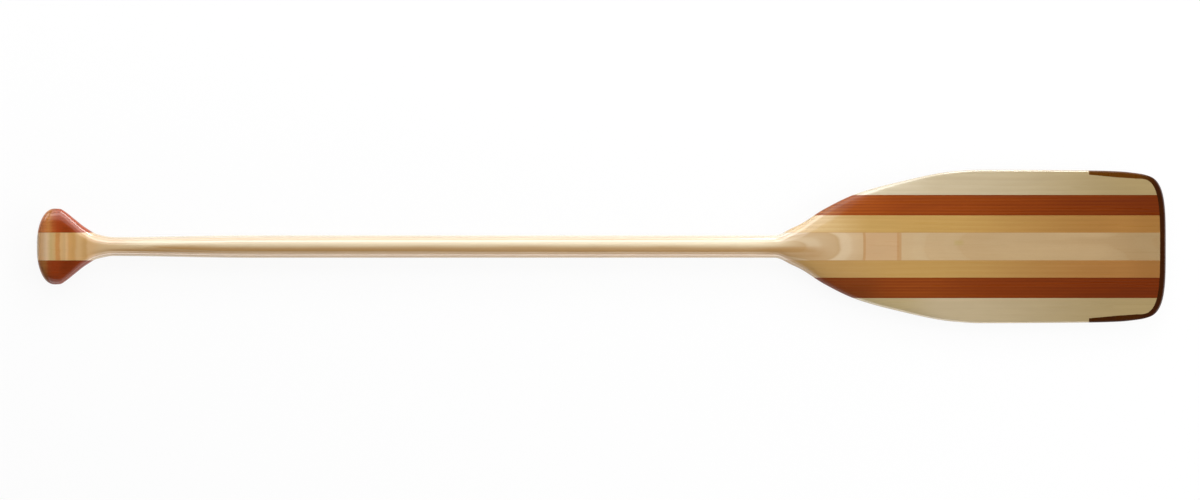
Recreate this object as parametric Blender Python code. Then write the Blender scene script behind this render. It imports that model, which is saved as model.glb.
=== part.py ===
"""Laminated wooden canoe paddle, lying flat with one face of its blade up.

Metres, +Z up. The floor is z = 0, x = 0 is the middle of the length, -X is the palm end of the grip,
+X the tip of the blade and +Y the paddle's left side. Places along the paddle are measured from its palm end.

It is made as the real one is. Boards are glued up at their blank sizes, and the blank is then carved to one
flowing form. Here the carved form is a loft, each board is a box at its blank size, and a Boolean cuts the
board to the form, so glue lines feather out across the throat just as they do on the real paddle.
"""
import math

import bpy
import bmesh
import numpy as np

# Whole paddle
LENGTH = 1.524
SHAFT_WIDTH = 0.031
SHAFT_THICKNESS = 0.029

# Palm grip: how far in from the palm end each place lies, and how wide or thick the grip is there
GRIP_WIDTH = 0.1026
GRIP_WIDEST_AT = 0.024
PALM_SWELL_THICKNESS = 0.0286
PALM_SWELL_AT = 0.015
FINGER_SCOOP_THICKNESS = 0.0226
FINGER_SCOOP_AT = 0.036
FINGER_SCOOP_END_AT = 0.060
NECK_WIDTH = 0.026
NECK_THICKNESS = 0.0264
NECK_AT = 0.104
SHAFT_FULL_AT = 0.288

# Blade: lengths are measured back from the tip
BLADE_LENGTH = 0.528
BLADE_WIDTH = 0.2072
BLADE_WIDEST_FROM_TIP = 0.249
END_TAPER_LENGTH = 0.100
END_TAPER_WIDTH = 0.2052
TIP_WIDTH = 0.191
TIP_ROUNDING_LENGTH = 0.040
SPINE_RAMP_FROM_TIP = 0.574
PANEL_THICKNESS = 0.0084
PANEL_START_FROM_TIP = 0.194
PANEL_END_FROM_TIP = 0.084
EDGE_THICKNESS = 0.005

# Boards: widths across the paddle and thicknesses of the stick's plies
STICK_WIDTH = 0.0375
INNER_STRIP_WIDTH = 0.02325
MIDDLE_STRIP_WIDTH = 0.0275
CORE_THICKNESS = 0.0168
VENEER_THICKNESS = 0.0019
GLUE_GAP = 0.0003
BLANK_OVERHANG = 0.004

# Cast guard round the blade's end, and the tongue that keys it to the strips
GUARD_LENGTH = 0.104
GUARD_WIDTH_AT_START = 0.0058
GUARD_WIDTH_AT_SIDES = 0.0082
GUARD_SIDES_FROM_TIP = 0.068
GUARD_WIDTH_AT_CORNERS = 0.0076
GUARD_WIDTH_AT_TIP = 0.008
TONGUE_THICKNESS = 0.0024
TONGUE_DEPTH = 0.0035
GUARD_CLEARANCE = 0.0003

# Shape of the flowing lines, as shares of the sizes above
GRIP_FLANK = ((0.09, 0.99), (0.19, 0.87), (0.32, 0.655), (0.52, 0.33), (0.72, 0.10))
THROAT_FLARE = ((0.085, 0.11), (0.125, 0.17), (0.24, 0.40), (0.395, 0.633), (0.59, 0.806), (0.86, 0.974))
END_TAPER = ((0.38, 0.17), (0.65, 0.58), (0.78, 0.86))
PALM_ROUNDNESS_POWER = 2.15
TIP_SQUARENESS_POWER = 3.7
GUARD_SQUARENESS_POWER = 3.4
GRIP_FLAT_SHARE = 0.6
BLADE_FLAT_SHARE = 0.156
SHAFT_FULLNESS_POWER = 2.0
BLADE_FULLNESS_POWER = 6.0
SHAFT_SHOULDER_POWER = 2.0
BLADE_SHOULDER_POWER = 1.4

# Fineness of the facets
RING_QUARTER_STEPS = 10
END_SECTIONS = 9
LONGEST_FACET = 0.06
LONGEST_GRIP_FACET = 0.008
WIDTH_STEP = 0.004
OUTLINE_SPACING = 0.0015
WELD_DISTANCE = 1e-6
SHARP_ANGLE = math.radians(30)

PALE_WOOD = (0.58, 0.38, 0.19)
WARM_PALE_WOOD = (0.55, 0.34, 0.16)
HONEY_WOOD = (0.48, 0.28, 0.09)
RED_WOOD = (0.26, 0.06, 0.014)
OUTER_PALE_WOOD = (0.60, 0.48, 0.30)
DARK_RESIN = (0.032, 0.009, 0.003)
VARNISH_ROUGHNESS = 0.3
RESIN_ROUGHNESS = 0.25

AXIS_HEIGHT = SHAFT_THICKNESS / 2
THROAT_AT = LENGTH - BLADE_LENGTH
BLADE_WIDEST_AT = LENGTH - BLADE_WIDEST_FROM_TIP
END_TAPER_AT = LENGTH - END_TAPER_LENGTH
TIP_ROUNDING_AT = LENGTH - TIP_ROUNDING_LENGTH
SPINE_RAMP_AT = LENGTH - SPINE_RAMP_FROM_TIP
PANEL_START_AT = LENGTH - PANEL_START_FROM_TIP
PANEL_END_AT = LENGTH - PANEL_END_FROM_TIP
GUARD_AT = LENGTH - GUARD_LENGTH
GUARD_SIDES_AT = LENGTH - GUARD_SIDES_FROM_TIP
EDGE_RADIUS = EDGE_THICKNESS / 2


def flow(points, at):
    """Size at a place on the smooth curve through (place, size) points, level at both of its ends."""
    if at <= points[0][0]:
        return points[0][1]
    if at >= points[-1][0]:
        return points[-1][1]
    index = max(i for i, point in enumerate(points) if point[0] <= at)
    start, end = points[index], points[index + 1]
    stretch = end[0] - start[0]
    share = (at - start[0]) / stretch
    leaving = flow_slope(points, index) * stretch
    arriving = flow_slope(points, index + 1) * stretch
    risen = share * share * (3 - 2 * share)
    bend = share * (1 - share)
    return start[1] + (end[1] - start[1]) * risen + bend * ((1 - share) * leaving - share * arriving)


def flow_slope(points, index):
    """Slope of the flowing curve at one of its points: none at an end, a crest or a hollow."""
    if index in (0, len(points) - 1):
        return 0.0
    before, here, after = points[index - 1:index + 2]
    left = (here[1] - before[1]) / (here[0] - before[0])
    right = (after[1] - here[1]) / (after[0] - here[0])
    if left * right <= 0:
        return 0.0
    return 2 * left * right / (left + right)


def between(start, end, shares):
    """Points of a flowing line between two (place, size) points, from shares of the way and of the change."""
    way = end[0] - start[0]
    change = end[1] - start[1]
    return [(start[0] + way * along, start[1] + change * risen) for along, risen in shares]


def width_line():
    """Half widths from the grip's widest place to the tip, before the corners there are rounded."""
    widest_grip = (GRIP_WIDEST_AT, GRIP_WIDTH / 2)
    neck = (NECK_AT, NECK_WIDTH / 2)
    flank = [(along, 1 - left) for along, left in GRIP_FLANK]
    shaft_start = (SHAFT_FULL_AT, SHAFT_WIDTH / 2)
    shaft_end = (THROAT_AT, SHAFT_WIDTH / 2)
    widest_blade = (BLADE_WIDEST_AT, BLADE_WIDTH / 2)
    taper_start = (END_TAPER_AT, END_TAPER_WIDTH / 2)
    tip = (LENGTH, TIP_WIDTH / 2)
    grip = [widest_grip, *between(widest_grip, neck, flank), neck]
    throat = [shaft_end, *between(shaft_end, widest_blade, THROAT_FLARE), widest_blade]
    return [*grip, shaft_start, *throat, taper_start, *between(taper_start, tip, END_TAPER), tip]


def thickness_line():
    """Half thicknesses along the middle, from the palm swell to the tip."""
    return [
        (PALM_SWELL_AT, PALM_SWELL_THICKNESS / 2),
        (FINGER_SCOOP_AT, FINGER_SCOOP_THICKNESS / 2),
        (FINGER_SCOOP_END_AT, NECK_THICKNESS / 2),
        (NECK_AT, NECK_THICKNESS / 2),
        (SHAFT_FULL_AT, SHAFT_THICKNESS / 2),
        (SPINE_RAMP_AT, SHAFT_THICKNESS / 2),
        (PANEL_START_AT, PANEL_THICKNESS / 2),
        (PANEL_END_AT, PANEL_THICKNESS / 2),
        (LENGTH, EDGE_RADIUS),
    ]


WIDTH_LINE = width_line()
THICKNESS_LINE = thickness_line()
FULLNESS_LINE = [(THROAT_AT, SHAFT_FULLNESS_POWER), (PANEL_START_AT, BLADE_FULLNESS_POWER)]
SHOULDER_LINE = [(THROAT_AT, SHAFT_SHOULDER_POWER), (PANEL_START_AT, BLADE_SHOULDER_POWER)]
FLAT_LINE = [
    (GRIP_WIDEST_AT, GRIP_FLAT_SHARE),
    (NECK_AT, 0.0),
    (THROAT_AT, 0.0),
    (PANEL_START_AT, BLADE_FLAT_SHARE),
]


def rounded_share(share, power):
    """How much of its full size a rounded end keeps at this share of its length, 1 being the very end."""
    return max(0.0, 1 - share ** power) ** (1 / power)


def half_width(along):
    """Half the width of the paddle at this distance from the palm end."""
    if along < GRIP_WIDEST_AT:
        return GRIP_WIDTH / 2 * rounded_share(1 - along / GRIP_WIDEST_AT, PALM_ROUNDNESS_POWER)
    past = min(max(0.0, (along - TIP_ROUNDING_AT) / TIP_ROUNDING_LENGTH), 1.0)
    return flow(WIDTH_LINE, along) * rounded_share(past, TIP_SQUARENESS_POWER)


def middle_thickness(along):
    """Half the thickness along the middle line, with the palm end rounded as a quarter ellipse."""
    if along < PALM_SWELL_AT:
        swell = PALM_SWELL_THICKNESS / 2 - EDGE_RADIUS
        return EDGE_RADIUS + swell * rounded_share(1 - along / PALM_SWELL_AT, 2)
    return flow(THICKNESS_LINE, along)


def palm_stations():
    """Places round the palm end, close together where it turns most."""
    turns = [math.pi / 2 * step / END_SECTIONS for step in range(END_SECTIONS)]
    return [GRIP_WIDEST_AT * (1 - math.cos(turn) ** (2 / PALM_ROUNDNESS_POWER)) for turn in turns]


def tip_stations():
    """Places round the tip, close together where it turns most."""
    turns = [math.pi / 2 * (step + 1) / END_SECTIONS for step in range(END_SECTIONS)]
    power = 2 / TIP_SQUARENESS_POWER
    return [TIP_ROUNDING_AT + TIP_ROUNDING_LENGTH * math.sin(turn) ** power for turn in turns]


def stations():
    """Every place along the paddle where the carved form has a section, closer together where it flares."""
    shaped = {place for place, _ in WIDTH_LINE + THICKNESS_LINE}
    marks = sorted(place for place in shaped if GRIP_WIDEST_AT <= place <= TIP_ROUNDING_AT)
    places = [*palm_stations(), marks[0]]
    for start, end in zip(marks, marks[1:]):
        flare = abs(half_width(end) - half_width(start))
        longest = LONGEST_GRIP_FACET if end <= NECK_AT else LONGEST_FACET
        count = max(math.ceil((end - start) / longest), math.ceil(flare / WIDTH_STEP))
        places += [start + (end - start) * (step + 1) / count for step in range(count)]
    return places + tip_stations()


def edge_line():
    """Points along one edge of the paddle seen from above, from palm end to tip."""
    count = round(LENGTH / OUTLINE_SPACING)
    places = sorted({*stations(), *[LENGTH * step / count for step in range(count + 1)]})
    return np.array([(along, half_width(along)) for along in places])


EDGE_LINE = edge_line()


def rim_distance(along, across):
    """Distance in from the edge of the paddle, seen from above."""
    point = np.array((along, abs(across)))
    starts = EDGE_LINE[:-1]
    runs = EDGE_LINE[1:] - starts
    shares = ((point - starts) * runs).sum(axis=1) / (runs * runs).sum(axis=1)
    nearest = starts + runs * np.clip(shares, 0, 1)[:, None]
    return float(np.sqrt(((point - nearest) ** 2).sum(axis=1).min()))


def half_thickness(along, across):
    """Half the thickness of the carved form: flat in the middle but on the shaft, crowned, a rounded rim."""
    wide = half_width(along)
    flat = flow(FLAT_LINE, along)
    beyond_flat = max(0.0, abs(across) / wide - flat) / (1 - flat)
    fullness = flow(FULLNESS_LINE, along)
    shoulder = flow(SHOULDER_LINE, along)
    crown = max(0.0, 1 - beyond_flat ** fullness) ** (1 / shoulder)
    into_rim = min(rim_distance(along, across) / EDGE_RADIUS, 1.0)
    rim = EDGE_RADIUS * math.sqrt(1 - (1 - into_rim) ** 2)
    return rim + (middle_thickness(along) - EDGE_RADIUS) * crown


def ring(along):
    """One section of the form: points over the front face from right to left, then back under it."""
    wide = half_width(along)
    steps = range(-RING_QUARTER_STEPS, RING_QUARTER_STEPS + 1)
    turns = [math.pi / 2 * step / RING_QUARTER_STEPS for step in steps]
    front = [(wide * math.sin(turn), half_thickness(along, wide * math.sin(turn))) for turn in turns]
    back = [(across, -high) for across, high in reversed(front[1:-1])]
    x = along - LENGTH / 2
    return [(x, across, AXIS_HEIGHT + high) for across, high in front + back]


def collection(name):
    """A new collection in the scene."""
    made = bpy.data.collections.new(name)
    bpy.context.scene.collection.children.link(made)
    return made


def mesh_object(name, mesh, home):
    """An object for a mesh, kept in one collection only."""
    made = bpy.data.objects.new(name, mesh)
    home.objects.link(made)
    return made


def as_guide(guide):
    """Marks an object as a guide or cutter: drawn as wire and never rendered."""
    guide.hide_render = True
    guide.display_type = "WIRE"
    return guide


def carved_form(home):
    """The outside of the finished paddle as one closed loft, from palm end to tip."""
    places = stations()
    bm = bmesh.new()
    palm = bm.verts.new((-LENGTH / 2, 0, AXIS_HEIGHT))
    tip = bm.verts.new((LENGTH / 2, 0, AXIS_HEIGHT))
    rings = [[bm.verts.new(point) for point in ring(along)] for along in places[1:-1]]
    for before, after in zip(rings, rings[1:]):
        for index, corner in enumerate(before):
            bm.faces.new((corner, before[index - 1], after[index - 1], after[index]))
    for index, corner in enumerate(rings[0]):
        bm.faces.new((palm, rings[0][index - 1], corner))
    for index, corner in enumerate(rings[-1]):
        bm.faces.new((tip, corner, rings[-1][index - 1]))
    bmesh.ops.triangulate(bm, faces=bm.faces, quad_method="SHORT_EDGE")
    bmesh.ops.recalc_face_normals(bm, faces=bm.faces)
    mesh = bpy.data.meshes.new("carved_form")
    bm.to_mesh(mesh)
    bm.free()
    return as_guide(mesh_object("carved_form", mesh, home))


def inner_guard_line(outward):
    """Half outline of the strips' end inside the guard, or of the tongue when moved outward."""
    start_y = half_width(GUARD_AT) - GUARD_WIDTH_AT_START + outward
    side_y = half_width(GUARD_SIDES_AT) - GUARD_WIDTH_AT_SIDES + outward
    corner_y = half_width(TIP_ROUNDING_AT) - GUARD_WIDTH_AT_CORNERS + outward
    reach = TIP_ROUNDING_LENGTH - GUARD_WIDTH_AT_TIP + outward
    points = [(GUARD_AT, start_y), (GUARD_SIDES_AT, side_y)]
    for step in range(END_SECTIONS):
        turn = math.pi / 2 * step / END_SECTIONS
        along = TIP_ROUNDING_AT + reach * math.sin(turn) ** (2 / GUARD_SQUARENESS_POWER)
        points.append((along, corner_y * math.cos(turn) ** (2 / GUARD_SQUARENESS_POWER)))
    return [*points, (TIP_ROUNDING_AT + reach, 0.0)]


def plan_prism(name, half_outline, thickness, home):
    """A flat outline, given as its left half from palm side to tip, extruded both ways from mid height."""
    mirrored = [(along, -across) for along, across in reversed(half_outline) if across]
    outline = half_outline + mirrored
    curve = bpy.data.curves.new(name, "CURVE")
    curve.dimensions = "2D"
    curve.fill_mode = "BOTH"
    curve.extrude = thickness / 2
    spline = curve.splines.new("POLY")
    spline.points.add(len(outline) - 1)
    for point, (along, across) in zip(spline.points, outline):
        point.co = (along - LENGTH / 2, across, 0, 1)
    spline.use_cyclic_u = True
    flat = bpy.data.objects.new(name, curve)
    home.objects.link(flat)
    flat.location.z = AXIS_HEIGHT
    bpy.context.view_layer.update()
    evaluated = flat.evaluated_get(bpy.context.evaluated_depsgraph_get())
    mesh = bpy.data.meshes.new_from_object(evaluated)
    place = flat.matrix_world.copy()
    bpy.data.objects.remove(flat)
    bpy.data.curves.remove(curve)
    bm = bmesh.new()
    bm.from_mesh(mesh)
    bmesh.ops.remove_doubles(bm, verts=bm.verts, dist=WELD_DISTANCE)
    bmesh.ops.recalc_face_normals(bm, faces=bm.faces)
    bm.to_mesh(mesh)
    bm.free()
    mesh.name = name
    prism = mesh_object(name, mesh, home)
    prism.matrix_world = place
    return as_guide(prism)


def cut(target, cutter, operation):
    """Adds a live Boolean to an object."""
    boolean = target.modifiers.new(f"{operation.lower()} {cutter.name}", "BOOLEAN")
    boolean.operation = operation
    boolean.solver = "EXACT"
    boolean.object = cutter


def keyed_end(name, clearance, home):
    """Room of the strips: all of the blade up to the guard, with the tongue standing out of it."""
    room_y = BLADE_WIDTH / 2 + BLANK_OVERHANG
    body = [(-BLANK_OVERHANG, room_y), (GUARD_AT + clearance, room_y)]
    shoulder = inner_guard_line(clearance)
    shoulder[0] = (GUARD_AT + clearance, shoulder[0][1])
    room = plan_prism(name, body + shoulder, SHAFT_THICKNESS + 2 * BLANK_OVERHANG, home)
    tongue_line = inner_guard_line(TONGUE_DEPTH + clearance)
    tongue_line[0] = (GUARD_AT - TONGUE_DEPTH, tongue_line[0][1])
    tongue = plan_prism(f"{name}_tongue", tongue_line, TONGUE_THICKNESS + 2 * clearance, home)
    cut(room, tongue, "UNION")
    return room


def finish(name, colour, roughness):
    """A Principled material."""
    material = bpy.data.materials.new(name)
    material.use_nodes = True
    shader = material.node_tree.nodes["Principled BSDF"]
    shader.inputs["Base Color"].default_value = (*colour, 1)
    shader.inputs["Roughness"].default_value = roughness
    shader.inputs["Metallic"].default_value = 0
    return material


def blank(name, along, across, high, home):
    """A box at the sizes of a board's blank. Each pair gives its two ends, high from the middle height."""
    size = (along[1] - along[0], across[1] - across[0], high[1] - high[0])
    middle = (sum(along) / 2 - LENGTH / 2, sum(across) / 2, AXIS_HEIGHT + sum(high) / 2)
    bm = bmesh.new()
    bmesh.ops.create_cube(bm, size=1)
    bmesh.ops.scale(bm, vec=size, verts=bm.verts)
    mesh = bpy.data.meshes.new(name)
    bm.to_mesh(mesh)
    bm.free()
    made = mesh_object(name, mesh, home)
    made.location = middle
    return made


def shade(piece, material):
    """Gives a piece its material and smooth shading between its glue faces."""
    piece.data.materials.append(material)
    piece.data.shade_smooth()
    piece.data.set_sharp_from_angle(angle=SHARP_ANGLE)


def carve(piece, form, room, material):
    """Cuts a blank to the carved form, and to the room that the guard leaves where it reaches the guard."""
    cut(piece, form, "INTERSECT")
    if room:
        cut(piece, room, "INTERSECT")
    shade(piece, material)


def stick_plies(form, room, home):
    """The five boards that make the stick, each the full length of the paddle as a blank."""
    along = (-BLANK_OVERHANG, LENGTH + BLANK_OVERHANG)
    across = (-STICK_WIDTH / 2 + GLUE_GAP / 2, STICK_WIDTH / 2 - GLUE_GAP / 2)
    core_face = CORE_THICKNESS / 2
    veneer_face = core_face + VENEER_THICKNESS
    outside = SHAFT_THICKNESS / 2 + BLANK_OVERHANG
    core = blank("stick_core", along, across, (-core_face + GLUE_GAP / 2, core_face - GLUE_GAP / 2), home)
    carve(core, form, room, finish("core_wood", PALE_WOOD, VARNISH_ROUGHNESS))
    for side, name in ((1, "front"), (-1, "back")):
        veneer_high = sorted((side * (core_face + GLUE_GAP / 2), side * (veneer_face - GLUE_GAP / 2)))
        veneer = blank(f"stick_veneer_{name}", along, across, veneer_high, home)
        carve(veneer, form, None, finish(f"veneer_wood_{name}", WARM_PALE_WOOD, VARNISH_ROUGHNESS))
        face_high = sorted((side * (veneer_face + GLUE_GAP / 2), side * outside))
        face = blank(f"stick_face_{name}", along, across, face_high, home)
        carve(face, form, None, finish(f"face_wood_{name}", PALE_WOOD, VARNISH_ROUGHNESS))


def side_boards(form, room, home):
    """Grip cheeks and blade strips, glued edge to edge outwards from the stick on both sides."""
    outside = SHAFT_THICKNESS / 2 + BLANK_OVERHANG
    high = (-outside, outside)
    blade = (THROAT_AT - BLANK_OVERHANG, LENGTH + BLANK_OVERHANG)
    grip = (-BLANK_OVERHANG, NECK_AT)
    stick_face = STICK_WIDTH / 2
    inner_face = stick_face + INNER_STRIP_WIDTH
    middle_face = inner_face + MIDDLE_STRIP_WIDTH
    blade_edge = BLADE_WIDTH / 2 + BLANK_OVERHANG
    grip_edge = GRIP_WIDTH / 2 + BLANK_OVERHANG
    boards = (
        ("grip_cheek", grip, stick_face, grip_edge, RED_WOOD, None),
        ("inner_strip", blade, stick_face, inner_face, HONEY_WOOD, room),
        ("middle_strip", blade, inner_face, middle_face, RED_WOOD, room),
        ("outer_strip", blade, middle_face, blade_edge, OUTER_PALE_WOOD, room),
    )
    for name, along, near, far, colour, end_room in boards:
        for side, side_name in ((1, "left"), (-1, "right")):
            across = sorted((side * (near + GLUE_GAP / 2), side * (far - GLUE_GAP / 2)))
            board = blank(f"{name}_{side_name}", along, across, high, home)
            carve(board, form, end_room, finish(f"{name}_wood_{side_name}", colour, VARNISH_ROUGHNESS))


def tip_guard(form, home, guides):
    """Resin edge cast round the end of the blade, grooved on its inside over the strips' tongue."""
    outside = SHAFT_THICKNESS / 2
    side_y = BLADE_WIDTH / 2 + BLANK_OVERHANG
    along = (GUARD_AT + GUARD_CLEARANCE, LENGTH + BLANK_OVERHANG)
    guard = blank("tip_guard", along, (-side_y, side_y), (-outside, outside), home)
    cut(guard, form, "INTERSECT")
    cut(guard, keyed_end("guard_groove", GUARD_CLEARANCE, guides), "DIFFERENCE")
    shade(guard, finish("guard_resin", DARK_RESIN, RESIN_ROUGHNESS))


for old in list(bpy.data.objects):
    bpy.data.objects.remove(old)
paddle = collection("canoe_paddle")
cutters = collection("cutters")
outside_form = carved_form(cutters)
strips_room = keyed_end("strips_room", 0.0, cutters)
stick_plies(outside_form, strips_room, paddle)
side_boards(outside_form, strips_room, paddle)
tip_guard(outside_form, paddle, cutters)
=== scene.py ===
"""Laminated wooden canoe paddle lying on a pale studio floor, seen square on to one face of its blade.

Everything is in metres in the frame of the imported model: x = 0 is the middle of the length, -X the palm end,
+X the tip of the blade, +Y the paddle's left side and z = 0 the floor. Places along the paddle are measured
from its palm end, and heights of boards from the middle of its thickness.
"""
import math

import bmesh
import bpy
import numpy as np
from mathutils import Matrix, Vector


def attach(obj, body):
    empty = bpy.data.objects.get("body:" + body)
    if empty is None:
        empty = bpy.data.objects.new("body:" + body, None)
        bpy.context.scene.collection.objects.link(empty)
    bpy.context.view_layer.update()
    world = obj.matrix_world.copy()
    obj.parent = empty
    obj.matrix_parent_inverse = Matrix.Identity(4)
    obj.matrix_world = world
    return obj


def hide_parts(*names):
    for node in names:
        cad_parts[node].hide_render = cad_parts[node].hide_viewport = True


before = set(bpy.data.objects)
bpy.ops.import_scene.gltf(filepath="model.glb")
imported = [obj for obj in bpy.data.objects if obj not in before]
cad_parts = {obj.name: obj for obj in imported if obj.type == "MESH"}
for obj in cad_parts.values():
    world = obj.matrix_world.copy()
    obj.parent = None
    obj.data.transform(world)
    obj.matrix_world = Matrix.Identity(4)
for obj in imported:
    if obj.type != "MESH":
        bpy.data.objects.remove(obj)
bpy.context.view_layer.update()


# The carved outside of the whole paddle, which is no piece of its own. A blank is glued up from boards, and
# spokeshave and sander then give it one flowing form: palm grip, oval shaft, throat and thin crowned blade.
# Every board below is a slice of this form, so the surface runs on over the glue lines without a step.
LENGTH = 1.524
SHAFT_WIDTH = 0.031
SHAFT_THICKNESS = 0.029
AXIS_HEIGHT = SHAFT_THICKNESS / 2

GRIP_WIDTH = 0.1026
GRIP_WIDEST_AT = 0.024
PALM_SWELL_THICKNESS = 0.0286
PALM_SWELL_AT = 0.015
FINGER_SCOOP_THICKNESS = 0.0226
FINGER_SCOOP_AT = 0.036
FINGER_SCOOP_END_AT = 0.060
NECK_WIDTH = 0.026
NECK_THICKNESS = 0.0264
NECK_AT = 0.104
SHAFT_FULL_AT = 0.288

SPINE_RAMP_AT = 0.950
THROAT_AT = 0.996
BLADE_WIDTH = 0.2072
BLADE_WIDEST_AT = 1.275
PANEL_THICKNESS = 0.0084
PANEL_START_AT = 1.330
PANEL_END_AT = 1.440
END_TAPER_AT = 1.424
END_TAPER_WIDTH = 0.2052
TIP_WIDTH = 0.191
TIP_ROUNDING_LENGTH = 0.040
TIP_ROUNDING_AT = LENGTH - TIP_ROUNDING_LENGTH
EDGE_RADIUS = 0.0025

PALM_ROUNDNESS = 2.15
PALM_EDGE_ROUNDNESS = 2
SHAFT_ROUNDNESS = 2.0
PANEL_FULLNESS = 6.0
PANEL_SHOULDER = 1.4
TIP_SQUARENESS = 3.7
GRIP_FLAT_SHARE = 0.6
PANEL_FLAT_SHARE = 0.156

# Shares of the way between two places, and of the change in width there.
GRIP_FLANK = ((0.09, 0.99), (0.19, 0.87), (0.32, 0.655), (0.52, 0.33), (0.72, 0.10))
THROAT_FLARE = ((0.085, 0.11), (0.125, 0.17), (0.24, 0.40), (0.395, 0.633), (0.59, 0.806), (0.86, 0.974))
END_TAPER = ((0.38, 0.17), (0.65, 0.58), (0.78, 0.86))

PALM_STEPS = 30
TIP_STEPS = 40
RING_STEPS = 160
OUTLINE_SPACING = 0.0012
WELD = 1e-6


def flow(points, at):
    """Sizes at these places on the smooth curve through (place, size) points, level at both of its ends."""
    places, sizes = np.array(points).T
    stretches = np.diff(places)
    rises = np.diff(sizes) / stretches
    before, after = rises[:-1], rises[1:]
    slopes = np.zeros(len(places))
    climbing = before * after > 0
    slopes[1:-1][climbing] = (2 * before * after)[climbing] / (before + after)[climbing]
    at = np.clip(at, places[0], places[-1])
    index = np.clip(np.searchsorted(places, at, side="right") - 1, 0, len(places) - 2)
    share = (at - places[index]) / stretches[index]
    risen = share ** 2 * (3 - 2 * share)
    bend = share * (1 - share) * stretches[index]
    change = sizes[index + 1] - sizes[index]
    return sizes[index] + change * risen + bend * ((1 - share) * slopes[index] - share * slopes[index + 1])


def between(start, end, shares):
    """Points of a flowing line between two (place, size) points, from shares of the way and of the change."""
    way, change = end[0] - start[0], end[1] - start[1]
    return [(start[0] + way * along, start[1] + change * risen) for along, risen in shares]


WIDEST_GRIP = (GRIP_WIDEST_AT, GRIP_WIDTH / 2)
NECK = (NECK_AT, NECK_WIDTH / 2)
SHAFT_END = (THROAT_AT, SHAFT_WIDTH / 2)
WIDEST_BLADE = (BLADE_WIDEST_AT, BLADE_WIDTH / 2)
TAPER_START = (END_TAPER_AT, END_TAPER_WIDTH / 2)
TIP = (LENGTH, TIP_WIDTH / 2)
WIDTH_LINE = [
    WIDEST_GRIP,
    *between(WIDEST_GRIP, NECK, [(along, 1 - left) for along, left in GRIP_FLANK]),
    NECK,
    (SHAFT_FULL_AT, SHAFT_WIDTH / 2),
    SHAFT_END,
    *between(SHAFT_END, WIDEST_BLADE, THROAT_FLARE),
    WIDEST_BLADE,
    TAPER_START,
    *between(TAPER_START, TIP, END_TAPER),
    TIP,
]
THICKNESS_LINE = [
    (PALM_SWELL_AT, PALM_SWELL_THICKNESS / 2),
    (FINGER_SCOOP_AT, FINGER_SCOOP_THICKNESS / 2),
    (FINGER_SCOOP_END_AT, NECK_THICKNESS / 2),
    (NECK_AT, NECK_THICKNESS / 2),
    (SHAFT_FULL_AT, SHAFT_THICKNESS / 2),
    (SPINE_RAMP_AT, SHAFT_THICKNESS / 2),
    (PANEL_START_AT, PANEL_THICKNESS / 2),
    (PANEL_END_AT, PANEL_THICKNESS / 2),
    (LENGTH, EDGE_RADIUS),
]

# The crown across the paddle: how full and how shouldered its curve is, and what share of the width is flat.
FULLNESS_LINE = [(THROAT_AT, SHAFT_ROUNDNESS), (PANEL_START_AT, PANEL_FULLNESS)]
SHOULDER_LINE = [(THROAT_AT, SHAFT_ROUNDNESS), (PANEL_START_AT, PANEL_SHOULDER)]
FLAT_LINE = [
    (GRIP_WIDEST_AT, GRIP_FLAT_SHARE),
    (NECK_AT, 0.0),
    (THROAT_AT, 0.0),
    (PANEL_START_AT, PANEL_FLAT_SHARE),
]

# How far apart the form's rings are between two places along the paddle.
RING_SPACINGS = (
    (GRIP_WIDEST_AT, NECK_AT, 0.002),
    (NECK_AT, SHAFT_FULL_AT, 0.008),
    (SHAFT_FULL_AT, SPINE_RAMP_AT, 0.024),
    (SPINE_RAMP_AT, BLADE_WIDEST_AT, 0.003),
    (BLADE_WIDEST_AT, TIP_ROUNDING_AT, 0.004),
)


def rounded(share, power):
    """How much of its full size a rounded end keeps at these shares of its length, 1 being the very end."""
    return (1 - np.clip(share, 0, 1) ** power) ** (1 / power)


def half_width(along):
    """Half the width of the paddle at these distances from the palm end."""
    palm = rounded(1 - along / GRIP_WIDEST_AT, PALM_ROUNDNESS)
    tip = rounded((along - TIP_ROUNDING_AT) / TIP_ROUNDING_LENGTH, TIP_SQUARENESS)
    return palm * tip * flow(WIDTH_LINE, along)


def stations():
    """Every place along the paddle where the form has a ring, close together where it turns or flares."""
    palm_turns = np.linspace(0, math.pi / 2, PALM_STEPS + 1)
    tip_turns = np.linspace(0, math.pi / 2, TIP_STEPS + 1)
    marks = [place for place, _ in WIDTH_LINE + THICKNESS_LINE if GRIP_WIDEST_AT <= place <= TIP_ROUNDING_AT]
    return np.unique(np.concatenate([
        GRIP_WIDEST_AT * (1 - np.cos(palm_turns) ** (2 / PALM_ROUNDNESS)),
        *(np.arange(start, end, spacing) for start, end, spacing in RING_SPACINGS),
        marks,
        TIP_ROUNDING_AT + TIP_ROUNDING_LENGTH * np.sin(tip_turns) ** (2 / TIP_SQUARENESS),
    ]))


def rim_distances(along, across, edge):
    """Distances in from the edge of the paddle, seen from above, for points at one place along."""
    starts, runs = edge[:-1], np.diff(edge, axis=0)
    points = np.stack((np.full_like(across, along), across), axis=1)[:, None]
    shares = ((points - starts) * runs).sum(axis=2) / (runs ** 2).sum(axis=1)
    nearest = starts + runs * np.clip(shares, 0, 1)[..., None]
    return np.sqrt(((points - nearest) ** 2).sum(axis=2)).min(axis=1)


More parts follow.
